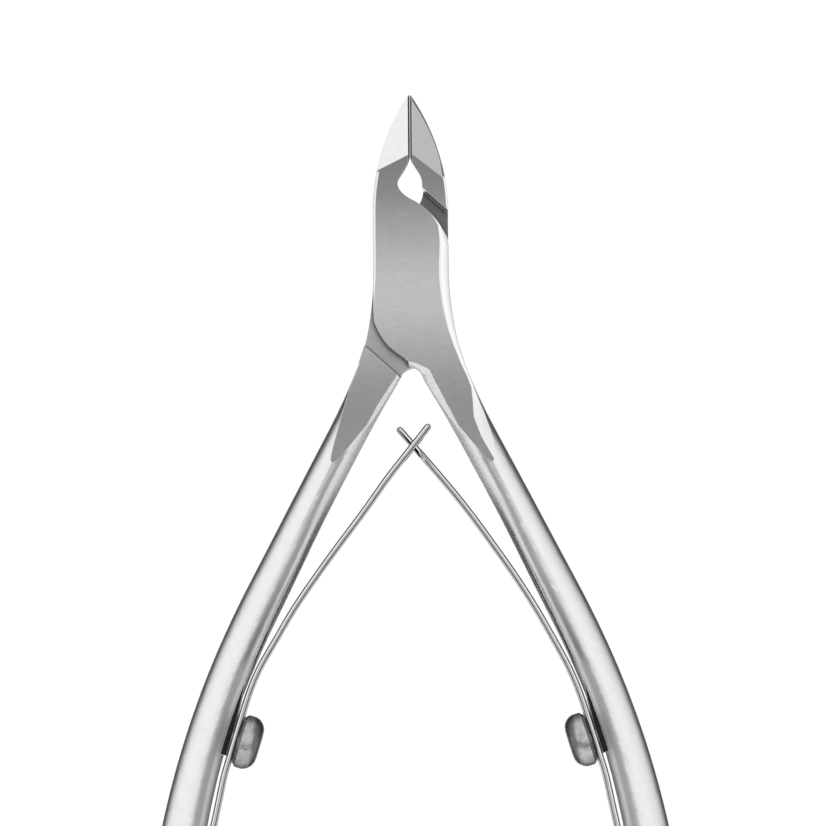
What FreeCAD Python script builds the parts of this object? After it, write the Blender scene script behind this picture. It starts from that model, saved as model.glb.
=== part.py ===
import FreeCAD, Part
import math
import os

# Cuticle nipper lying flat, front face up, in millimetres.
# X runs across, Y along the tool with the blade tip at +Y, and Z through its thickness.
# The tool's midline is x = 0, its back face z = 0 and its length is centred on y = 0.

V = FreeCAD.Vector

# Joint block and lap
THICK = 6.2            # thickness of the joint block
MID = THICK / 2        # height of the lap plane
LAP_GAP = 0.015        # each half stays this far from the lap plane
PIVOT = (0.0, 33.5)
TIP_Y = 55.96
SIDE = 4.27            # half width of the joint block
JAW_R = 23.5           # outer curve of each jaw in plan
JAW_ROOT_Y = 42.3      # the jaw's outer curve starts here

# Blades
TIP_FACE = 3.55        # front face of the blades at the very tip
FACET_Y = 48.75        # the facets start here, at the seam between the blades
EDGE_SLIT = 0.025      # half gap between the closed cutting edges

# Handles: a straight stretch, then one arc on the outer side
LEAN = math.radians(27.6)
BEND = (19.0, -0.4)
OUTER_R = 105.0
END_Y = -55.5
ARC_C = (BEND[0] - OUTER_R * math.cos(LEAN), BEND[1] - OUTER_R * math.sin(LEAN))

# Pivot screw
HEAD_R = 2.7
HEAD_DEEP = 1.3
SHOULDER_R = 1.8
THREAD_R = 1.5
THREAD_TOP = 5.4
RUNNING = 0.03         # radial clearance of the pivot's running fit

# Leaf springs and their screws
LEAF = 0.76            # leaf thickness
LEAF_IN = 0.32         # the leaf's inner face lies this far inside the path it is drawn on
LEAF_WIDE = 3.0
SEAT = V(19.86, -17.15, MID)          # where a spring screw's head meets its leaf
SEAT_LEAN = math.radians(17.0)
PAN_R = 3.05
PAN_HIGH = 2.5
SLOT_TURN = 128.0       # the spring screws stopped with their slots this far off the tool's thickness
SHANK_R = 1.25
SHANK_DEEP = 4.0
CLEAR = 0.04


def face_of(edges):
    return Part.Face(Part.Wire(Part.__sortEdges__(edges)))


def line(a, b, z=0.0):
    return Part.makeLine(V(a[0], a[1], z), V(b[0], b[1], z))


def curve(points, z=0.0, start=None, end=None):
    spline = Part.BSplineCurve()
    ends = {}
    if start:
        ends = {"InitialTangent": V(*start, 0), "FinalTangent": V(*end, 0)}
    spline.interpolate([V(x, y, z) for x, y in points], **ends)
    return spline.toShape()


def polygon(points, z=0.0):
    ring = [V(x, y, z) for x, y in points]
    return Part.Face(Part.makePolygon(ring + ring[:1]))


def prism(face, low, high):
    solid = face.copy()
    solid.translate(V(0, 0, low))
    return solid.extrude(V(0, 0, high - low))


def flip(shape):
    """Half a turn about the tool's long axis, which makes one half out of the other."""
    turned = shape.copy()
    turned.rotate(V(0, 0, MID), V(0, 1, 0), 180)
    return turned


def mirror(shape):
    return shape.mirror(V(0, 0, 0), V(1, 0, 0))


def cylinder(radius, base, axis, length):
    return Part.makeCylinder(radius, length, base, axis)


def above_plane(points, size=40.0):
    """A big block on the upper side of the plane through three points."""
    a, b, c = (V(*p) for p in points)
    normal = (b - a).cross(c - a)
    if normal.z < 0:
        normal = normal * -1
    slab = Part.makeBox(size, size, size, V(-size / 2, -size / 2, 0))
    slab.Placement = FreeCAD.Placement(a, FreeCAD.Rotation(V(0, 0, 1), normal))
    return slab


def jaw_x(y):
    """Half width of the closed jaws at y."""
    if y <= JAW_ROOT_Y:
        return SIDE
    return SIDE - JAW_R + math.sqrt(JAW_R ** 2 - (y - JAW_ROOT_Y) ** 2)


def block_outline():
    """Plan of the front half's joint block: plate, left jaw and the root of the right handle."""
    tip_x = -max(jaw_x(TIP_Y), 0.1)
    jaw_mid = 0.5 * (JAW_ROOT_Y + TIP_Y)
    return face_of([
        curve([(6.0, 25.2), (5.31, 27.36), (4.88, 29.3), (4.5, 31.9), (SIDE + 0.02, 34.6), (SIDE, 36.4)],
              start=(-0.3, 1.0), end=(0.0, 1.0)),
        line((SIDE, 36.4), (SIDE, 38.6)),
        curve([(SIDE, 38.6), (3.82, 40.0), (2.53, 41.86), (0.63, 43.45), (-0.6, 44.3)],
              start=(-0.02, 1.0), end=(-0.8, 0.6)),
        line((-0.6, 44.3), (0.0, 46.0)),
        line((0.0, 46.0), (0.0, TIP_Y)),
        line((0.0, TIP_Y), (tip_x, TIP_Y)),
        Part.Arc(V(tip_x, TIP_Y, 0), V(-jaw_x(jaw_mid), jaw_mid, 0), V(-SIDE, JAW_ROOT_Y, 0)).toShape(),
        line((-SIDE, JAW_ROOT_Y), (-SIDE, 31.0)),
        curve([(-SIDE, 31.0), (-4.16, 29.85), (-3.44, 28.3), (-2.66, 27.2), (-1.48, 26.25), (-0.4, 25.5)],
              start=(0.0, -1.0), end=(0.82, -0.57)),
        line((-0.4, 25.5), (-0.3, 24.9)),
        curve([(-0.3, 24.9), (0.05, 24.86), (0.5, 24.66), (0.97, 24.36), (1.5, 23.9)]),
        line((1.5, 23.9), (1.68, 23.0)),
        line((1.68, 23.0), (6.0, 25.2)),
    ])


def section(centre, lean, wide, high, square):
    """One closed handle section from four quarter curves; square = 0.55 gives an ellipse."""
    across = V(math.cos(lean), math.sin(lean), 0) * (wide / 2)
    up = V(0, 0, high / 2)
    middle = V(centre[0], centre[1], MID)
    corners = [across, up, across * -1, up * -1]
    edges = []
    for i in range(4):
        a = corners[i]
        b = corners[(i + 1) % 4]
        bezier = Part.BezierCurve()
        bezier.setPoles([middle + a, middle + a + b * square, middle + b + a * square, middle + b])
        edges.append(bezier.toShape())
    return Part.Wire(edges)


def on_outer(y):
    """Outer edge of the handle in plan at y, and the lean of its side there."""
    if y > BEND[1]:
        return (BEND[0] - (y - BEND[1]) * math.tan(LEAN), y), LEAN
    lean = math.asin((y - ARC_C[1]) / OUTER_R)
    return (ARC_C[0] + OUTER_R * math.cos(lean), y), lean


def handle_section(y, wide, high, square):
    (x, _), lean = on_outer(y)
    centre = (x - math.cos(lean) * wide / 2, y - math.sin(lean) * wide / 2)
    return section(centre, lean, wide, high, square)


def right_handle():
    rings = [
        section((2.0, 27.6), LEAN, 4.3, 10.4, 0.9),
        section((3.86, 24.05), math.radians(29.0), 4.86, 10.0, 0.9),
        section((5.2, 21.4), math.radians(27.2), 4.5, 8.6, 0.86),
        handle_section(19.7, 4.3, 7.3, 0.74),
        handle_section(14.3, 4.25, 6.1, 0.62),
        handle_section(8.8, 4.3, 5.4, 0.58),
        handle_section(3.4, 4.5, 5.1, 0.57),
        handle_section(-1.5, 4.62, 5.0, 0.56),
        handle_section(-9.0, 4.62, 5.0, 0.56),
        handle_section(-17.0, 4.74, 5.0, 0.56),
        handle_section(-25.0, 5.0, 5.0, 0.56),
        handle_section(-35.0, 5.2, 5.0, 0.56),
        handle_section(-46.0, 5.2, 5.0, 0.56),
        handle_section(END_Y, 5.0, 4.9, 0.56),
    ]
    bar = Part.makeLoft(rings, True, False)
    end = [e for e in bar.Edges if abs(e.BoundBox.YMax - e.BoundBox.YMin) < 1.0 and e.BoundBox.YMin < END_Y + 0.5]
    return bar.makeFillet(1.7, end)


def wedge(path):
    """Cutter along an edge. Each stop gives x, y, the inward direction, width, upper and lower height."""
    rings = []
    for x, y, angle, width, high, low in path:
        inward = V(math.cos(math.radians(angle)), math.sin(math.radians(angle)), 0)
        edge = V(x, y, 0)
        corners = [
            edge + inward * width + V(0, 0, high),
            edge + V(0, 0, low),
            edge - inward * 0.7 + V(0, 0, low),
            edge - inward * 0.7 + V(0, 0, THICK + 1),
            edge + inward * width + V(0, 0, THICK + 1),
        ]
        rings.append(Part.makePolygon(corners + corners[:1]))
    return Part.makeLoft(rings, True, True)


def crotch_bevel():
    """Bevel round the crotch and on down the inner side of the handle, on the plate's side."""
    return wedge([
        (-0.6, 24.96, 84, 0.4, THICK, THICK - 0.42),
        (0.05, 24.84, 76, 0.42, THICK, THICK - 0.42),
        (0.52, 24.62, 66, 0.46, THICK, THICK - 0.45),
        (0.99, 24.32, 56, 0.54, THICK, THICK - 0.52),
        (1.5, 23.84, 46, 0.74, THICK, THICK - 0.7),
        (1.76, 22.9, 28, 0.85, THICK, THICK - 0.85),
        (3.2, 20.35, 27, 0.74, THICK, THICK - 0.74),
        (4.9, 17.25, 27, 0.66, THICK - 0.2, THICK - 0.85),
        (6.7, 13.8, 27, 0.42, MID + 2.0, MID + 1.55),
        (8.4, 10.4, 27, 0.1, MID + 1.4, MID + 1.2),
    ])


def recess_bevel():
    """The same bevel on the recess side, where it starts at the shoulder."""
    cutter = wedge([
        (1.35, 23.7, 27, 0.3, THICK, THICK - 0.3),
        (1.8, 22.8, 27, 0.42, THICK, THICK - 0.42),
        (3.2, 20.35, 27, 0.62, THICK, THICK - 0.62),
        (4.9, 17.25, 27, 0.64, THICK - 0.2, THICK - 0.83),
        (6.7, 13.8, 27, 0.42, MID + 2.0, MID + 1.55),
        (8.4, 10.4, 27, 0.1, MID + 1.4, MID + 1.2),
    ])
    return mirror(flip(cutter))


def rounding(path):
    """Cutter that crowns an edge of the front face. Each stop gives x, y, inward direction and width."""
    first, last = math.radians(4), math.radians(52)
    reach = math.sin(last) - math.sin(first)
    rings = []
    for x, y, angle, width in path:
        inward = V(math.cos(math.radians(angle)), math.sin(math.radians(angle)), 0)
        edge = V(x, y, THICK)
        corners = []
        for step in range(7):
            turn = first + (last - first) * step / 6
            out = (math.sin(turn) - math.sin(first)) / reach
            down = (math.cos(first) - math.cos(turn)) / reach
            corners.append(edge + inward * (width * (1 - out)) - V(0, 0, width * down))
        corners.append(corners[6] - inward * 0.5)
        corners.append(corners[0] + V(0, 0, 0.5) - inward * (width + 0.5))
        corners.append(corners[0] + V(0, 0, 0.5))
        rings.append(Part.makePolygon(corners + corners[:1]))
    return Part.makeLoft(rings, True, True)


def plate_rounding():
    return rounding([
        (2.53, 41.86, 230, 0.1),
        (3.3, 41.0, 221, 0.3),
        (3.86, 39.9, 205, 0.7),
        (SIDE, 38.5, 182, 1.0),
        (SIDE, 36.4, 180, 1.1),
        (SIDE + 0.02, 34.6, 181, 1.1),
        (4.5, 31.9, 188, 1.0),
        (4.88, 29.3, 193, 0.8),
        (5.31, 27.36, 197, 0.6),
        (6.0, 25.2, 205, 0.45),
        (6.6, 23.85, 207, 0.42),
        (7.2, 22.6, 207, 0.55),
        (7.95, 21.1, 207, 1.2),
        (8.6, 19.9, 207, 1.85),
        (9.7, 17.8, 207.5, 2.15),
        (11.0, 15.2, 207.6, 2.0),
    ])


def jaw_rounding(low, high, width):
    """Small crown on the outer edge of the left jaw between two heights up the tool."""
    stops = []
    for step in range(9):
        y = low + (high - low) * step / 8
        turn = math.asin(max(0.0, y - JAW_ROOT_Y) / JAW_R)
        stops.append((-jaw_x(y), y, -math.degrees(turn), width * min(1.0, 0.15 + 0.4 * step)))
    return rounding(stops)


def lap_recess():
    """What the front half gives up behind the lap plane, so that the other half's plate fits."""
    plan = polygon([(-8, 39.1), (-1.54, 44.85), (7, 52.4), (10, 40), (10, 31.39), (5.14, 27.02), (1.66, 23.89), (-4, 18.8), (-9, 25)])
    return prism(plan, -2, MID + LAP_GAP)


def blade_facet(outer, inner):
    """A facet from the line between two points of the flat face down to the tip."""
    return above_plane([(outer[0], outer[1], THICK), (inner[0], inner[1], THICK), (0, TIP_Y, TIP_FACE)])


def jaws_only(cutter):
    return cutter.common(Part.makeBox(20, 20, 40, V(-10, 43.5, -10)))


def blade_hollow():
    """The space between the closed blades: a shallow groove in front, the slit between the edges, a hollow behind."""
    rings = []
    for y in (47.6, FACET_Y, 56.8):
        front = min(THICK, THICK - (THICK - TIP_FACE) / (TIP_Y - FACET_Y) * (y - FACET_Y))
        edge = front - 0.34
        behind = EDGE_SLIT + 0.14 * (edge + 1)
        side = [(0.24, front + 0.3), (0.2, front - 0.24), (EDGE_SLIT, edge), (behind, -1.0)]
        ring = [(-x, z) for x, z in side] + [(x, z) for x, z in reversed(side)]
        corners = [V(x, y, z) for x, z in ring]
        rings.append(Part.makePolygon(corners + corners[:1]))
    return Part.makeLoft(rings, True, True)


def drop_ring(grow, z):
    """Outline of the drop-shaped hole between the jaws, point towards the tip."""
    sides = [
        [(0.0, 48.62), (-0.2, 47.9), (-0.62, 47.1), (-1.2, 46.2), (-1.42, 45.45), (-1.15, 44.75), (-0.5, 44.1), (0.35, 43.6)],
        [(0.35, 43.6), (0.85, 43.72), (1.2, 44.4), (1.33, 45.4), (1.12, 46.4), (0.6, 47.3), (0.22, 47.9), (0.0, 48.62)],
    ]
    edges = []
    for side in sides:
        spline = Part.BSplineCurve()
        spline.interpolate([V(x * (1 + grow), 45.8 + (y - 45.8) * (1 + grow), z) for x, y in side])
        edges.append(spline.toShape())
    return Part.Wire(edges)


def drop_hole():
    """The hole, which opens out towards the back."""
    return Part.makeLoft([drop_ring(0.0, THICK + 1), drop_ring(0.0, THICK - 0.6), drop_ring(0.3, -1.0)], True, True)


def seat_pad():
    """Pad on the handle's inner side that carries the leaf."""
    inward = V(-math.cos(SEAT_LEAN), -math.sin(SEAT_LEAN), 0)
    along = V(-math.sin(SEAT_LEAN), math.cos(SEAT_LEAN), 0)
    face = SEAT - inward * (LEAF + CLEAR) - V(0, 0, 1.35)
    stops = [(-2.1, 0.0), (1.6, 0.0), (6.6, -0.3), (6.6, -2.4), (-2.1, -2.4)]
    ring = [face + along * far + inward * out for far, out in stops]
    return Part.Face(Part.makePolygon(ring + ring[:1])).extrude(V(0, 0, 2.7))


def seat_axis():
    return V(math.cos(SEAT_LEAN), math.sin(SEAT_LEAN), 0)


def spring_screw():
    """Slotted pan head screw at the right handle's seat."""
    base = SEAT - seat_axis() * CLEAR
    arc = Part.Arc(V(PAN_R, 0, 1.15), V(PAN_R * 0.86, 0, 1.98), V(PAN_R * 0.5, 0, PAN_HIGH - 0.04)).toShape()
    profile = Part.Wire([
        Part.makeLine(V(0, 0, 0), V(PAN_R - 0.35, 0, 0)),
        Part.makeLine(V(PAN_R - 0.35, 0, 0), V(PAN_R, 0, 0.35)),
        Part.makeLine(V(PAN_R, 0, 0.35), V(PAN_R, 0, 1.15)),
        arc,
        Part.makeLine(V(PAN_R * 0.5, 0, PAN_HIGH - 0.04), V(0, 0, PAN_HIGH)),
        Part.makeLine(V(0, 0, PAN_HIGH), V(0, 0, 0)),
    ])
    head = Part.Face(profile).revolve(V(0, 0, 0), V(0, 0, 1), 360)
    slot = Part.makeBox(8, 0.8, 2, V(-4, -0.4, PAN_HIGH - 0.7))
    slot.rotate(V(0, 0, 0), V(0, 0, 1), SLOT_TURN)
    shank = cylinder(SHANK_R, V(0, 0, 0), V(0, 0, -1), LEAF + SHANK_DEEP)
    screw = head.cut(slot).fuse(shank).removeSplitter()
    screw.Placement = FreeCAD.Placement(base, FreeCAD.Rotation(V(0, 0, 1), seat_axis() * -1))
    return screw


def half_blank():
    """One half without its pivot hole: the front half as it lies in the tool."""
    body = prism(block_outline(), 0, THICK)
    body = body.fuse(right_handle())
    slab = Part.makeBox(100, 140, THICK, V(-50, -70, 0))
    body = body.common(slab)
    body = body.fuse(seat_pad())
    return body


def cut_faces(body):
    body = body.cut(jaws_only(blade_facet((-3.8, 46.97), (-0.3, 48.74))))
    body = body.cut(flip(jaws_only(blade_facet((3.55, 46.25), (0.27, 48.83)))))
    body = body.cut(crotch_bevel())
    body = body.cut(recess_bevel())
    body = body.cut(plate_rounding())
    body = body.cut(jaw_rounding(31.2, 46.9, 0.3))
    body = body.cut(flip(mirror(jaw_rounding(42.0, 46.2, 0.24))))
    return body.cut(lap_recess())


def seat_hole():
    return cylinder(SHANK_R, SEAT, seat_axis(), LEAF + SHANK_DEEP + 0.2)


def front_half():
    body = cut_faces(half_blank())
    body = body.cut(seat_hole())
    body = body.cut(blade_hollow()).cut(drop_hole())
    hole = cylinder(THREAD_R, V(*PIVOT, MID - 1), V(0, 0, 1), THREAD_TOP - MID + 1.1)
    return body.cut(hole).removeSplitter()


def back_half():
    body = cut_faces(half_blank())
    body = body.cut(seat_hole())
    body = flip(body)
    body = body.cut(blade_hollow()).cut(drop_hole())
    body = body.cut(cylinder(SHOULDER_R + RUNNING, V(*PIVOT, -1), V(0, 0, 1), THICK + 2))
    body = body.cut(cylinder(HEAD_R + 0.06, V(*PIVOT, -1), V(0, 0, 1), HEAD_DEEP + 1 + CLEAR))
    return body.removeSplitter()


def pivot_screw():
    foot = V(*PIVOT, 0.12)
    screw = cylinder(HEAD_R, foot, V(0, 0, 1), HEAD_DEEP - 0.12)
    rim = [e for e in screw.Edges if abs(e.BoundBox.ZMax - foot.z) < 1e-6]
    screw = screw.makeChamfer(0.2, rim)
    screw = screw.fuse(cylinder(SHOULDER_R, V(*PIVOT, HEAD_DEEP - 0.01), V(0, 0, 1), MID - HEAD_DEEP + 0.01))
    screw = screw.fuse(cylinder(THREAD_R, V(*PIVOT, MID - 0.01), V(0, 0, 1), THREAD_TOP - MID + 0.01))
    slot = Part.makeBox(8, 0.8, 0.75, V(PIVOT[0] - 4, PIVOT[1] - 0.4, 0))
    return screw.cut(slot).removeSplitter()


def leaf(path):
    """A leaf of even thickness along a curve in plan, from its tip to its tail."""
    middle = Part.BSplineCurve()
    middle.interpolate([V(x, y, 0) for x, y in path])
    sides = []
    count = 30
    for side in (LEAF - LEAF_IN, -LEAF_IN):
        points = []
        for i in range(count + 1):
            at = middle.FirstParameter + (middle.LastParameter - middle.FirstParameter) * i / count
            tangent = V(*middle.tangent(at)[0])
            points.append(middle.value(at) + V(-tangent.y, tangent.x, 0) * side)
        edge = Part.BSplineCurve()
        edge.interpolate(points)
        sides.append((edge.toShape(), points))
    (one, a), (two, b) = sides
    ends = []
    for i, along in ((0, -1), (count, 1)):
        at = middle.FirstParameter if i == 0 else middle.LastParameter
        tangent = V(*middle.tangent(at)[0]) * along
        ends.append(Part.Arc(a[i], (a[i] + b[i]) * 0.5 + tangent * (LEAF / 2), b[i]).toShape())
    face = face_of([one, two] + ends)
    return prism(face, MID - LEAF_WIDE / 2, MID + LEAF_WIDE / 2)


def leaf_tail():
    """Where both leaves run past their screws, for the right handle."""
    seat = [(20.17 - math.sin(SEAT_LEAN) * along, -17.06 + math.cos(SEAT_LEAN) * along) for along in (4, 2, 0, -2, -4)]
    return [(17.3, -9.0)] + seat + [(22.0, -23.9), (22.65, -26.9), (23.2, -30.2)]


def leaf_hole():
    return cylinder(SHANK_R + 0.2, SEAT - seat_axis() * 2, seat_axis(), 4)


def right_spring():
    """Leaf of the right handle, narrowed to a tongue where it goes through the other leaf."""
    path = [(-1.43, 17.69), (0.4, 15.55), (2.66, 12.9), (5.97, 8.83), (8.93, 4.76), (11.73, 0.70), (14.24, -3.37), (15.75, -6.09)]
    body = leaf(path + leaf_tail()).cut(leaf_hole())
    for low in (MID - 4, MID + 0.7):
        body = body.cut(Part.makeBox(6, 6, 3.3, V(-5, 14.6, low)))
    return body


def left_spring():
    """Leaf of the left handle, with the slot that the other leaf's tongue goes through."""
    path = [(-1.8, 17.98), (-0.42, 16.25), (0.67, 14.9), (2.2, 13.0), (5.22, 8.83), (8.3, 4.76), (11.27, 0.70), (14.01, -3.37), (15.6, -6.09)]
    body = leaf(path + leaf_tail()).cut(leaf_hole())
    body = mirror(body)
    slot = Part.makeBox(6, 2.6, 1.8, V(-3, 14.2, MID - 0.9))
    return body.cut(slot)


def save(name, shape):
    os.makedirs("parts", exist_ok=True)
    solid = shape.Solids[0] if len(shape.Solids) == 1 else Part.makeCompound(shape.Solids)
    solid.exportStep("parts/" + name + ".step")
    box = solid.BoundBox
    print(name, len(shape.Solids), solid.isValid(), round(solid.Volume, 2),
          [round(v, 2) for v in (box.XMin, box.YMin, box.ZMin, box.XMax, box.YMax, box.ZMax)])


save("front_half", front_half())
save("back_half", back_half())
save("pivot_screw", pivot_screw())
save("right_spring", right_spring())
save("left_spring", left_spring())
save("right_spring_screw", spring_screw())
save("left_spring_screw", mirror(spring_screw()))
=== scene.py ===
import math

import bmesh
import bpy
from mathutils import Matrix, Vector


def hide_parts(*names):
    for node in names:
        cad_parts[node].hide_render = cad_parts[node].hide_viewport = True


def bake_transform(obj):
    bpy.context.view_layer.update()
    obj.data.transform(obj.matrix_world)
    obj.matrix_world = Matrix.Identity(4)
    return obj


MM = 0.001
# The middle of the nipper's thickness
MID = 3.1 * MM

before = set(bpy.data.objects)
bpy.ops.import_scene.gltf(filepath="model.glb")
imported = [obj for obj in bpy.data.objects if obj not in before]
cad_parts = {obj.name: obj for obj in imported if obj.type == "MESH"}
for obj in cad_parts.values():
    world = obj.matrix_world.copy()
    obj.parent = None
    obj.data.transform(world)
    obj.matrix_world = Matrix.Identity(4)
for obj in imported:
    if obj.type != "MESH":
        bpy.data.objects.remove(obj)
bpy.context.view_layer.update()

# ---------------------------------------------------------------- camera

CAMERA_FOOT = Vector((0.1, -12.0, 0.0)) * MM
CAMERA_HIGH = 520 * MM
LOOK_AT = Vector((0.11, 19.57, 5.0)) * MM
CAMERA_ROLL = math.radians(-0.416)
PICTURE_WIDE = 93.34 * MM


def add_camera():
    place = CAMERA_FOOT + Vector((0, 0, CAMERA_HIGH))
    aim = LOOK_AT - place
    data = bpy.data.cameras.new("camera")
    data.sensor_width = 36.0
    data.lens = data.sensor_width * aim.length / PICTURE_WIDE
    data.clip_start = 0.01
    data.clip_end = 20.0
    camera = bpy.data.objects.new("camera", data)
    camera.location = place
    turn = aim.to_track_quat("-Z", "Y").to_matrix()
    roll = Matrix.Rotation(CAMERA_ROLL, 3, turn.col[2])
    camera.rotation_euler = (roll @ turn).to_euler()
    bpy.context.collection.objects.link(camera)
    bpy.context.scene.camera = camera


# ---------------------------------------------------------------- node helpers

def math_node(tree, operation, a, b=None, c=None, clamp=False):
    node = tree.nodes.new("ShaderNodeMath")
    node.operation = operation
    node.use_clamp = clamp
    for socket, value in zip(node.inputs, (a, b, c)):
        if value is None:
            continue
        if isinstance(value, (int, float)):
            socket.default_value = value
        else:
            tree.links.new(value, socket)
    return node.outputs[0]


def ramp(tree, value, low, high, out_low=0.0, out_high=1.0):
    """value from low to high, eased over out_low to out_high."""
    node = tree.nodes.new("ShaderNodeMapRange")
    node.interpolation_type = "SMOOTHSTEP"
    tree.links.new(value, node.inputs["Value"])
    node.inputs["From Min"].default_value = low
    node.inputs["From Max"].default_value = high
    node.inputs["To Min"].default_value = out_low
    node.inputs["To Max"].default_value = out_high
    return node.outputs[0]


def curve_of(tree, value, points):
    """A value looked up on a smooth line through the points (value, result)."""
    node = tree.nodes.new("ShaderNodeFloatCurve")
    line = node.mapping.curves[0]
    node.mapping.clip_min_x = points[0][0]
    node.mapping.clip_max_x = points[-1][0]
    node.mapping.clip_min_y = 0.0
    node.mapping.clip_max_y = 2.0
    line.points[0].location = points[0]
    line.points[1].location = points[-1]
    for point in points[1:-1]:
        line.points.new(*point)
    node.mapping.update()
    tree.links.new(value, node.inputs["Value"])
    return node.outputs[0]


# ---------------------------------------------------------------- light

# Brightness by height, from straight down to straight up
LEVELS = [
    (-1.0, 1.0), (-0.97, 0.9), (-0.9, 0.1), (-0.8, 0.1), (-0.6, 0.2), (-0.4, 0.42),
    (-0.1, 0.9), (0.3, 1.22), (1.0, 1.32),
]
# What the gap overhead, the lit table, the far right and the right side do to the brightness
GAP_LOSS = -0.66
TABLE_GAIN = 0.9
FAR_RIGHT_LOSS = -0.3
RIGHT_SHARE = 0.9
# The white of the table and the surround, and their sizes in metres
WHITE = 1.02
TABLE_R = 1.5
TABLE_Z = -0.2 * MM
SURROUND_R = 4.0


def add_world():
    """Soft studio light from all round, with a dim gap overhead on the near side and a lit table below."""
    world = bpy.data.worlds.new("studio")
    world.use_nodes = True
    tree = world.node_tree
    tree.nodes.clear()
    coords = tree.nodes.new("ShaderNodeTexCoord")
    split = tree.nodes.new("ShaderNodeSeparateXYZ")
    tree.links.new(coords.outputs["Generated"], split.inputs[0])
    x, y, z = split.outputs
    level = curve_of(tree, z, LEVELS)
    near = math_node(tree, "MULTIPLY", ramp(tree, y, -0.1, -0.3), ramp(tree, y, -0.62, -0.45))
    gap = math_node(tree, "MULTIPLY", near, ramp(tree, z, 0.15, 0.45))
    keep = math_node(tree, "MULTIPLY_ADD", gap, GAP_LOSS, 1.0)
    below = math_node(tree, "MULTIPLY", ramp(tree, y, 0.1, -0.3), ramp(tree, z, 0.1, -0.3))
    lift = math_node(tree, "MULTIPLY_ADD", below, TABLE_GAIN, 1.0)
    far_right = math_node(tree, "MULTIPLY", ramp(tree, x, 0.1, 0.45), ramp(tree, y, 0.42, 0.6))
    dim = math_node(tree, "MULTIPLY_ADD", far_right, FAR_RIGHT_LOSS, 1.0)
    side = ramp(tree, x, 0.3, 1.0, 1.0, RIGHT_SHARE)
    total = level
    for share in (keep, dim, side, lift):
        total = math_node(tree, "MULTIPLY", total, share)
    background = tree.nodes.new("ShaderNodeBackground")
    output = tree.nodes.new("ShaderNodeOutputWorld")
    tree.links.new(total, background.inputs["Strength"])
    tree.links.new(background.outputs[0], output.inputs[0])
    bpy.context.scene.world = world


def white_stage(name):
    material = bpy.data.materials.new(name)
    material.use_nodes = True
    tree = material.node_tree
    tree.nodes.clear()
    glow = tree.nodes.new("ShaderNodeEmission")
    glow.inputs["Strength"].default_value = WHITE
    output = tree.nodes.new("ShaderNodeOutputMaterial")
    tree.links.new(glow.outputs[0], output.inputs[0])
    return material


def stage_piece(name, form, material):
    mesh = bpy.data.meshes.new(name)
    form.to_mesh(mesh)
    form.free()
    mesh.materials.append(material)
    obj = bpy.data.objects.new(name, mesh)
    bpy.context.collection.objects.link(obj)
    obj.visible_glossy = False
    obj.visible_diffuse = False
    obj.visible_shadow = False
    return obj


def add_stage():
    """A white table and a white surround, which light nothing and show in no reflection."""
    white = white_stage("table_white")
    table = bmesh.new()
    bmesh.ops.create_circle(table, cap_ends=True, segments=96, radius=TABLE_R)
    stage_piece("table", table, white).location.z = TABLE_Z
    dome = bmesh.new()
    bmesh.ops.create_uvsphere(dome, u_segments=48, v_segments=24, radius=SURROUND_R)
    stage_piece("surround", dome, white)


# ---------------------------------------------------------------- materials

# Tint of the ground faces from the handles up to the blades: painted shading that makes stretches darker or
# lighter, standing in for the light they reflect
GROUND_SHADE_TONES = [
    (-20.0, 0.75), (-8.0, 0.75), (0.0, 0.4), (16.0, 0.31), (22.0, 0.32), (27.0, 0.43),
    (31.0, 0.53), (35.0, 0.53), (39.0, 0.43), (42.5, 0.33), (45.0, 0.26), (60.0, 0.26),
]
# Tint across the inner slope of a handle, by how far it faces inward: a painted band of shade
BAND_SHADE_TONES = [
    (0.0, 1.0), (0.22, 1.0), (0.37, 0.77), (0.5, 0.57), (0.58, 0.58), (0.67, 0.74), (0.74, 1.0), (1.0, 1.0),
]
# Tint of a leaf from its outer side to its inner side: painted dark shade lines and bright highlight bands,
# set by the way the surface faces
SPRING_SHADE_AND_HIGHLIGHT_TONES = [
    (0.0, 0.9), (0.08, 0.6), (0.14, 0.08), (0.22, 0.3), (0.3, 0.85), (0.4, 0.7), (0.47, 0.28),
    (0.54, 0.55), (0.64, 0.5), (0.71, 0.07), (0.78, 0.3), (0.86, 0.75), (1.0, 0.95),
]
# Places on the object in millimetres, and directions in plan in degrees
SHOULDER_FOOT = (-1.66, 23.89)
SHOULDER_AWAY = 48.0
RIM_CENTRE = (-19.23, 42.3)
# The rim's inner radius by the facets' foot and by the tip
RIM_INSIDE = (23.2, 23.36)
SEAT = (19.86, -17.15)
SEAT_LEAN = 17.0
SEAT_DEEP = 2.0
SEAT_HALF_WIDE = 1.6
SEAT_TOP = -9.5
LAP_FLOOR_UNDER = 4.2
FACETS_FROM = 46.2
GROOVE_FROM = 48.3
GROOVE_HALF_WIDE = 0.22
# The inward directions in plan of the upper and of the lower right handle
INWARD_UPPER = (-0.886, -0.463)
INWARD_LOWER = (-0.956, -0.292)
# Tints and roughness of the steel; the facet, crown, inner-side, rim, groove, seat, edge and screw-end tints
# are painted light and shade
HANDLE_TINT = 0.82
LEFT_FACET_LIT_TINT = 0.86
RIGHT_FACET_SHADED_TINT = 0.62
CROWN_HIGHLIGHT_TINTS = (0.8, 0.98)
INNER_LIGHTENED_TINT = 0.97
RIM_SHADE_TINT = 0.22
GROOVE_SHADE_TINT = 0.25
SEAT_SHADOW_TINT = 0.02
EDGE_HIGHLIGHT_TINT = 0.93
SCREW_TINT = 0.46
SCREW_EDGE_HIGHLIGHT_TINT = 0.6
SCREW_END_SHADE = 0.45
POLISHED = 0.2
GROUND = 0.4
BLASTED = 0.6
STEEL_CAST = (1.0, 0.995, 0.985)
# In millimetres: the radius of the rounded edges that carry a painted highlight, how far the painted shade
# reaches into a corner, and the depth of the bumps
EDGE_R = 0.1
CORNER_SHADE_REACH = 0.7
HALF_BUMPS = 0.006
SPRING_BUMPS = 0.003
SCREW_BUMPS = 0.03


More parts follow.
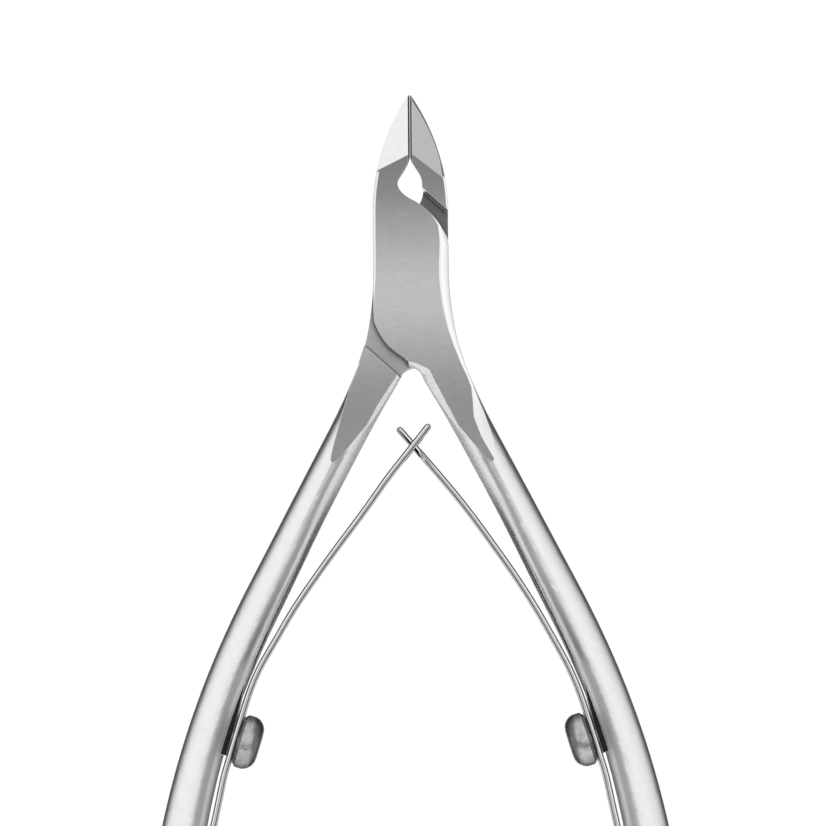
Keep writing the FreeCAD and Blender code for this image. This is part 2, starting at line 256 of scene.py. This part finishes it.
class Shade:
    """A metal material, with helpers that paint it by the piece's own coordinates in millimetres."""

    def __init__(self, name):
        self.material = bpy.data.materials.new(name)
        self.material.use_nodes = True
        self.tree = self.material.node_tree
        self.shader = self.tree.nodes["Principled BSDF"]
        self.shader.inputs["Metallic"].default_value = 1.0
        coords = self.tree.nodes.new("ShaderNodeTexCoord")
        scale = self.tree.nodes.new("ShaderNodeVectorMath")
        scale.operation = "SCALE"
        scale.inputs["Scale"].default_value = 1 / MM
        self.tree.links.new(coords.outputs["Object"], scale.inputs[0])
        self.place = scale.outputs[0]
        self.x, self.y, self.z = self.split(self.place)
        self.facing = self.split(coords.outputs["Normal"])

    def split(self, vector):
        node = self.tree.nodes.new("ShaderNodeSeparateXYZ")
        self.tree.links.new(vector, node.inputs[0])
        return node.outputs

    def maths(self, operation, a, b=None, c=None, clamp=False):
        return math_node(self.tree, operation, a, b, c, clamp)

    def ramp(self, value, low, high, out_low=0.0, out_high=1.0):
        return ramp(self.tree, value, low, high, out_low, out_high)

    def mix(self, factor, a, b):
        """a where factor is 0, b where it is 1."""
        node = self.tree.nodes.new("ShaderNodeMix")
        self.tree.links.new(factor, node.inputs["Factor"])
        for socket, value in ((node.inputs[2], a), (node.inputs[3], b)):
            if isinstance(value, (int, float)):
                socket.default_value = value
            else:
                self.tree.links.new(value, socket)
        return node.outputs[0]

    def vary(self, noise, amount, middle):
        """The middle value, more or less by up to half the amount as the noise goes from 0 to 1."""
        return self.maths("MULTIPLY_ADD", self.maths("SUBTRACT", noise, 0.5), amount, middle)

    def curve(self, value, points):
        return curve_of(self.tree, value, points)

    def along(self, point, degrees):
        """How far a place is from the point, in millimetres, in the direction at that angle in plan."""
        east = math.cos(math.radians(degrees))
        north = math.sin(math.radians(degrees))
        part = self.maths("MULTIPLY_ADD", self.x, east, -point[0] * east)
        return self.maths("ADD", part, self.maths("MULTIPLY_ADD", self.y, north, -point[1] * north))

    def inward(self, direction, side, clamp=False):
        """How far the surface faces that way; the direction is the right side's, mirrored for side -1."""
        part = self.maths("MULTIPLY", self.facing[1], direction[1])
        return self.maths("MULTIPLY_ADD", self.facing[0], direction[0] * side, part, clamp)

    def floor_shade(self):
        """Lap floors are painted dark as shade by the tip and lighter by the handle, with a painted shadow
        line at the foot of the shoulder.
        """
        tone = self.ramp(self.y, 36.0, 30.0, 0.16, 0.42)
        shoulder = self.maths("ABSOLUTE", self.along(SHOULDER_FOOT, SHOULDER_AWAY))
        return self.maths("MULTIPLY", tone, self.ramp(shoulder, 0.16, 0.3, 0.04, 1.0))

    def crown_highlight(self):
        """1 on the polished crowns along the edges of the plate, whose tint paints a highlight that is
        brighter on the right.
        """
        beside = self.ramp(self.maths("ABSOLUTE", self.x), 2.6, 3.0)
        tilted = self.ramp(self.facing[2], 0.9995, 0.95)
        stretch = self.maths("MULTIPLY", self.ramp(self.y, 18.0, 23.0), self.ramp(self.y, 46.4, 46.0))
        return self.maths("MULTIPLY", self.maths("MULTIPLY", beside, tilted), stretch)

    def inner_side(self, side):
        """1 on the ground inner side of the handle near the crotch, which is rougher and whose tint is
        raised as painted light.
        """
        inward = self.inward(INWARD_UPPER, side)
        below = self.maths("MULTIPLY", self.ramp(self.y, 5.0, 13.0), self.ramp(self.y, 26.0, 25.6))
        return self.maths("MULTIPLY", self.ramp(inward, 0.4, 0.6), below)

    def beside_tail(self, side):
        """1 on the inner slope of the handle beside the spring's tail, which is left rougher."""
        slope = self.inward(INWARD_LOWER, side, clamp=True)
        stretch = self.maths("MULTIPLY", self.ramp(self.y, -7.0, -10.0), self.ramp(self.y, -36.0, -32.0))
        return self.maths("MULTIPLY", self.ramp(slope, 0.3, 0.6), stretch)

    def band_shade(self, side):
        """The dark stripe along the inner slope of the lower handle, painted shade by the way the slope
        faces, as a share of the tint.
        """
        stripe = self.curve(self.inward(INWARD_LOWER, side, clamp=True), BAND_SHADE_TONES)
        return self.mix(self.ramp(self.y, 4.0, -8.0), 1.0, stripe)

    def corners(self):
        """Painted shade: darker in the corners of the lap, from an occlusion lookup."""
        node = self.tree.nodes.new("ShaderNodeAmbientOcclusion")
        node.samples = 8
        node.inputs["Distance"].default_value = CORNER_SHADE_REACH * MM
        shade = self.ramp(node.outputs["AO"], 0.5, 0.95, 0.35, 1.0)
        return self.mix(self.ramp(self.y, 14.0, 17.0), 1.0, shade)

    def groove_shade(self):
        """1 in the groove between the blades, painted dark as shade."""
        middle = self.ramp(self.maths("ABSOLUTE", self.x), GROOVE_HALF_WIDE + 0.04, GROOVE_HALF_WIDE)
        return self.maths("MULTIPLY", middle, self.ramp(self.y, GROOVE_FROM, GROOVE_FROM + 0.3))

    def rim_shade(self):
        """1 on the thin rim along the outer edge of the right blade, painted dark as shade."""
        right = self.maths("SUBTRACT", self.x, RIM_CENTRE[0])
        up = self.maths("SUBTRACT", self.y, RIM_CENTRE[1])
        square = self.maths("MULTIPLY_ADD", right, right, self.maths("MULTIPLY", up, up))
        reach = self.maths("SQRT", square)
        inside = self.ramp(self.y, 46.3, 49.0, *RIM_INSIDE)
        band = self.ramp(self.maths("SUBTRACT", reach, inside), 0.0, 0.05)
        side = self.maths("MULTIPLY", self.ramp(self.x, 0.1, 0.3), self.ramp(self.y, 46.2, 46.4))
        return self.maths("MULTIPLY", band, side)

    def seat_shadow(self, side):
        """1 on the pad behind the leaf, painted black as the shadow between the handle and the leaf."""
        outward = self.along((SEAT[0] * side, SEAT[1]), SEAT_LEAN if side > 0 else 180.0 - SEAT_LEAN)
        near_leaf = self.ramp(outward, SEAT_DEEP + 0.2, SEAT_DEEP)
        height = self.maths("ABSOLUTE", self.maths("SUBTRACT", self.z, MID / MM))
        top = self.ramp(height, SEAT_HALF_WIDE + 0.15, SEAT_HALF_WIDE)
        below = self.ramp(self.y, SEAT_TOP, SEAT_TOP - 0.5)
        stretch = self.maths("MULTIPLY", below, self.ramp(self.facing[2], 0.9, 0.95))
        return self.maths("MULTIPLY", self.maths("MULTIPLY", near_leaf, stretch), top)

    def noise(self, scale, detail=3.0, stretch=(1, 1, 1), angle=0.0):
        turn = self.tree.nodes.new("ShaderNodeMapping")
        turn.inputs["Rotation"].default_value[2] = angle
        turn.inputs["Scale"].default_value = stretch
        self.tree.links.new(self.place, turn.inputs[0])
        node = self.tree.nodes.new("ShaderNodeTexNoise")
        node.inputs["Scale"].default_value = scale
        node.inputs["Detail"].default_value = detail
        self.tree.links.new(turn.outputs[0], node.inputs["Vector"])
        return node.outputs["Fac"]

    def edges(self, radius):
        """The normal as it would be with edges rounded off, and a mask that is 1 on the edges."""
        bevel = self.tree.nodes.new("ShaderNodeBevel")
        bevel.samples = 8
        bevel.inputs["Radius"].default_value = radius * MM
        geometry = self.tree.nodes.new("ShaderNodeNewGeometry")
        dot = self.tree.nodes.new("ShaderNodeVectorMath")
        dot.operation = "DOT_PRODUCT"
        self.tree.links.new(bevel.outputs[0], dot.inputs[0])
        self.tree.links.new(geometry.outputs["Normal"], dot.inputs[1])
        return bevel.outputs[0], self.ramp(dot.outputs["Value"], 0.995, 0.9)

    def bump(self, height, depth, normal=None):
        """Bumps up to depth millimetres high."""
        node = self.tree.nodes.new("ShaderNodeBump")
        node.inputs["Distance"].default_value = depth * MM
        self.tree.links.new(height, node.inputs["Height"])
        if normal:
            self.tree.links.new(normal, node.inputs["Normal"])
        return node.outputs[0]

    def finish(self, tint, roughness, normal):
        colour = self.tree.nodes.new("ShaderNodeCombineColor")
        for socket, cast in zip(colour.inputs, STEEL_CAST):
            self.tree.links.new(self.maths("MULTIPLY", tint, cast), socket)
        self.tree.links.new(colour.outputs[0], self.shader.inputs["Base Color"])
        self.tree.links.new(roughness, self.shader.inputs["Roughness"])
        self.tree.links.new(normal, self.shader.inputs["Normal"])
        return self.material


def half_finish(name, side, facet_light_tint):
    """Drop-forged steel: bright tumbled handles and matt ground faces round the joint, with painted shade
    and highlights laid into the tint.
    """
    shade = Shade(name)
    flat = shade.ramp(shade.facing[2], 0.9975, 0.9995)
    floor = shade.maths("MULTIPLY", flat, shade.ramp(shade.z, LAP_FLOOR_UNDER + 0.4, LAP_FLOOR_UNDER))
    mottle = shade.noise(1.1, 4.0)
    fine = shade.noise(5.0, 3.0)
    grind = shade.noise(2.5, 3.0, (1.0, 9.0, 1.0), math.radians(25.0))
    lines = shade.noise(6.0, 2.0, (0.12, 1.2, 1.0))
    above = shade.ramp(shade.y, FACETS_FROM - 0.2, FACETS_FROM)
    facet = shade.maths("MULTIPLY", above, shade.ramp(shade.facing[2], 0.99, 0.96))
    inner = shade.inner_side(side)
    # painted shade stripe on the inner slope of the lower handle
    tint = shade.maths("MULTIPLY", shade.band_shade(side), HANDLE_TINT)
    # painted shading along the flat ground faces
    tint = shade.mix(flat, tint, shade.curve(shade.y, GROUND_SHADE_TONES))
    # painted light and shade: each half's facets get their own tint
    tint = shade.mix(facet, tint, facet_light_tint)
    # painted highlight on the plate's crowns, brighter on the right
    tint = shade.mix(shade.crown_highlight(), tint, shade.ramp(shade.x, -1.0, 1.0, *CROWN_HIGHLIGHT_TINTS))
    # painted light: a brighter tint on the inner side near the crotch
    tint = shade.mix(inner, tint, INNER_LIGHTENED_TINT)
    # painted shade on the lap floors and a painted shadow line by the shoulder
    tint = shade.mix(floor, tint, shade.floor_shade())
    # painted shade on the rim of the right blade
    tint = shade.mix(shade.rim_shade(), tint, RIM_SHADE_TINT)
    # painted shade in the groove between the blades
    tint = shade.mix(shade.groove_shade(), tint, GROOVE_SHADE_TINT)
    # painted shade in the corners of the lap
    tint = shade.maths("MULTIPLY", tint, shade.corners())
    # painted shadow: the pad behind the leaf is made near black
    tint = shade.mix(shade.seat_shadow(side), tint, SEAT_SHADOW_TINT)
    speckle = shade.vary(mottle, 0.12, 1.0)
    speckle = shade.vary(fine, shade.mix(flat, 0.03, 0.16), speckle)
    speckle = shade.vary(lines, shade.mix(flat, 0.0, 0.2), speckle)
    tint = shade.maths("MULTIPLY", tint, speckle)
    normal, edge = shade.edges(EDGE_R)
    # painted highlight along the edges
    tint = shade.mix(edge, tint, EDGE_HIGHLIGHT_TINT)
    rough = shade.mix(shade.maths("MAXIMUM", flat, facet), POLISHED, GROUND)
    rough = shade.mix(inner, rough, BLASTED)
    rough = shade.mix(shade.beside_tail(side), rough, BLASTED)
    rough = shade.vary(grind, 0.1, rough)
    height = shade.maths("MULTIPLY", shade.maths("ADD", fine, grind), shade.mix(flat, 0.1, 0.5))
    height = shade.maths("MULTIPLY", height, shade.mix(inner, 1.0, 0.1))
    return shade.finish(tint, rough, shade.bump(height, HALF_BUMPS, normal))


def spring_finish(name, side):
    """Tempered strip: dull grey on its face, with painted shade lines and highlight bands by the way the
    surface faces.
    """
    shade = Shade(name)
    across = shade.maths("MULTIPLY_ADD", shade.inward(INWARD_UPPER, side), 0.5, 0.5)
    mottle = shade.noise(1.6, 4.0)
    fine = shade.noise(10.0, 2.0)
    # painted shade lines and highlight bands across the leaf
    tint = shade.maths("MULTIPLY", shade.curve(across, SPRING_SHADE_AND_HIGHLIGHT_TONES), shade.vary(mottle, 0.3, 1.0))
    rough = shade.vary(fine, 0.1, POLISHED)
    return shade.finish(tint, rough, shade.bump(fine, SPRING_BUMPS))


def screw_finish(name):
    """Dull plated steel, lightly pitted, with a painted highlight on its edges and painted shade on the
    faces turned along x.
    """
    shade = Shade(name)
    mottle = shade.noise(1.2, 4.0)
    fine = shade.noise(5.0, 3.0)
    normal, edge = shade.edges(EDGE_R)
    # painted highlight along the screw's edges
    tint = shade.mix(edge, shade.vary(mottle, 0.5, SCREW_TINT), SCREW_EDGE_HIGHLIGHT_TINT)
    # painted shade on the faces turned along x
    end = shade.ramp(shade.maths("ABSOLUTE", shade.facing[0]), 0.35, 0.6, 1.0, SCREW_END_SHADE)
    tint = shade.maths("MULTIPLY", tint, end)
    rough = shade.maths("MULTIPLY_ADD", fine, 0.15, POLISHED)
    return shade.finish(tint, rough, shade.bump(fine, SCREW_BUMPS, normal))


def dress(node, material):
    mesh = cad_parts[node].data
    mesh.materials.clear()
    mesh.materials.append(material)


# ---------------------------------------------------------------- springs

# The stretch of the right leaf that bends as the handles close, from the held tail to the free arm
BEND_START = Vector((18.3, -11.8, 3.1)) * MM
BEND_END = Vector((16.2, -6.4, 3.1)) * MM
BEND_CUTS = 8
LEAF_WIDE = 3.0 * MM
# Where the right leaf narrows to its tongue
TONGUE_FOOT = 14.6 * MM
TONGUE_WIDE = 1.4 * MM
# The window in the left leaf that the tongue goes through
WINDOW_LOW = 14.2 * MM
WINDOW_HIGH = 16.8 * MM
WINDOW_WIDE = 1.8 * MM
# Heights nearer to each other than this are the same
NEAR = 0.01 * MM
# Other corners as near to the tongue's foot as this are left out, and the foot goes this far into the leaf
FOOT_CLEAR = 0.9 * MM
DOWN_THE_LEAF = Vector((0.65, -0.76, 0))
# The rolled edges: radius, steps, and how far into the broad side its first flat row reaches
ROLL = 0.36 * MM
ROLL_STEPS = 5
HOLD = 0.1 * MM


def spring_piece(node, material, side):
    """The leaf's own outline with its long edges rolled round, without the screw hole, which never shows."""
    source = bmesh.new()
    source.from_mesh(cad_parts[node].data)
    bmesh.ops.remove_doubles(source, verts=source.verts, dist=0.002 * MM)
    form = bmesh.new()
    add_rolled(form, outline_at(source, MID + LEAF_WIDE / 2), LEAF_WIDE)
    if side > 0:
        tongue = outline_at(source, MID + TONGUE_WIDE / 2)
        add_rolled(form, [into_the_leaf(point) for point in tongue], TONGUE_WIDE)
    source.free()
    start, end = bend_points(side)
    for step in range(BEND_CUTS + 1):
        cut(form, start.lerp(end, step / BEND_CUTS), end - start)
    if side < 0:
        open_window(form)
    for face in form.faces:
        face.smooth = True
    mesh = bpy.data.meshes.new(node + "_leaf")
    form.to_mesh(mesh)
    form.free()
    mesh.set_sharp_from_angle(angle=math.radians(50.0))
    mesh.materials.append(material)
    piece = bpy.data.objects.new(node + "_leaf", mesh)
    bpy.context.collection.objects.link(piece)
    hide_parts(node)
    return piece


def outline_at(source, height):
    """The corners, in order, of the level face at that height, without those close to the tongue's foot."""
    level = []
    for face in source.faces:
        if face.normal.z > 0.99 and abs(face.calc_center_median().z - height) < NEAR:
            level.append(face)
    region = bmesh.ops.dissolve_faces(source, faces=level)["region"]
    face = max(region, key=lambda one: one.calc_area())
    points = [vert.co.copy() for vert in face.verts]
    return [point for point in points if not NEAR < abs(point.y - TONGUE_FOOT) < FOOT_CLEAR]


def into_the_leaf(point):
    """Moves the corners at the tongue's foot down into the leaf, so that no groove shows between the two."""
    if abs(point.y - TONGUE_FOOT) > NEAR:
        return point
    return point + DOWN_THE_LEAF * FOOT_CLEAR


def add_rolled(form, outline, wide):
    """An upright band on the outline, with both its rims rolled over."""
    rows = []
    for step in range(ROLL_STEPS, -1, -1):
        angle = math.pi / 2 * step / ROLL_STEPS
        rows.append((ROLL - ROLL * math.cos(angle), wide / 2 - ROLL + ROLL * math.sin(angle)))
    rows.append((0.0, wide / 2 - ROLL - HOLD))
    profile = [(inset, -high) for inset, high in rows] + [(inset, high) for inset, high in reversed(rows)]
    inward = [inward_at(outline, i) for i in range(len(outline))]
    rings = []
    for inset, high in profile:
        ring = []
        for point, into in zip(outline, inward):
            ring.append(form.verts.new((point.x + into.x * inset, point.y + into.y * inset, MID + high)))
        rings.append(ring)
    count = len(outline)
    for low, high in zip(rings, rings[1:]):
        for i in range(count):
            j = (i + 1) % count
            form.faces.new((low[i], low[j], high[j], high[i]))
    form.faces.new(list(reversed(rings[0])))
    form.faces.new(rings[-1])


def inward_at(outline, i):
    """How a corner moves when both its sides move inward by 1."""
    before = (outline[i] - outline[i - 1]).xy.normalized()
    after = (outline[(i + 1) % len(outline)] - outline[i]).xy.normalized()
    one = Vector((-before.y, before.x))
    two = Vector((-after.y, after.x))
    return (one + two) / (1.0 + one.dot(two))


def bend_points(side):
    """Where the leaf of that side starts to bend and where it is free."""
    return [Vector((point.x * side, point.y, point.z)) for point in (BEND_START, BEND_END)]


def cut(form, place, direction):
    geometry = form.verts[:] + form.edges[:] + form.faces[:]
    bmesh.ops.bisect_plane(form, geom=geometry, dist=0.001 * MM, plane_co=place, plane_no=direction)


def open_window(form):
    """Cuts the window through both broad sides of the leaf and walls it."""
    for height in (MID - WINDOW_WIDE / 2, MID + WINDOW_WIDE / 2):
        cut(form, Vector((0, 0, height)), Vector((0, 0, 1)))
    for height in (WINDOW_LOW, WINDOW_HIGH):
        cut(form, Vector((0, height, 0)), Vector((0, 1, 0)))
    inside = []
    for face in form.faces:
        middle = face.calc_center_median()
        if abs(middle.z - MID) < WINDOW_WIDE / 2 and WINDOW_LOW < middle.y < WINDOW_HIGH:
            inside.append(face)
    bmesh.ops.delete(form, geom=inside, context="FACES")
    bmesh.ops.bridge_loops(form, edges=[edge for edge in form.edges if edge.is_boundary])


add_camera()
add_world()
add_stage()
# the two halves' facet tints are a lit and a shaded copy of the same steel
dress("front_half", half_finish("front_half_steel", 1, LEFT_FACET_LIT_TINT))
dress("back_half", half_finish("back_half_steel", -1, RIGHT_FACET_SHADED_TINT))
for name in ("pivot_screw", "right_spring_screw", "left_spring_screw"):
    dress(name, screw_finish(name + "_steel"))
for half, name, side in (("front_half", "right_spring", 1), ("back_half", "left_spring", -1)):
    leaf = spring_piece(name, spring_finish(name + "_steel", side), side)
    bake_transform(leaf)

bpy.context.scene.view_settings.view_transform = "Standard"
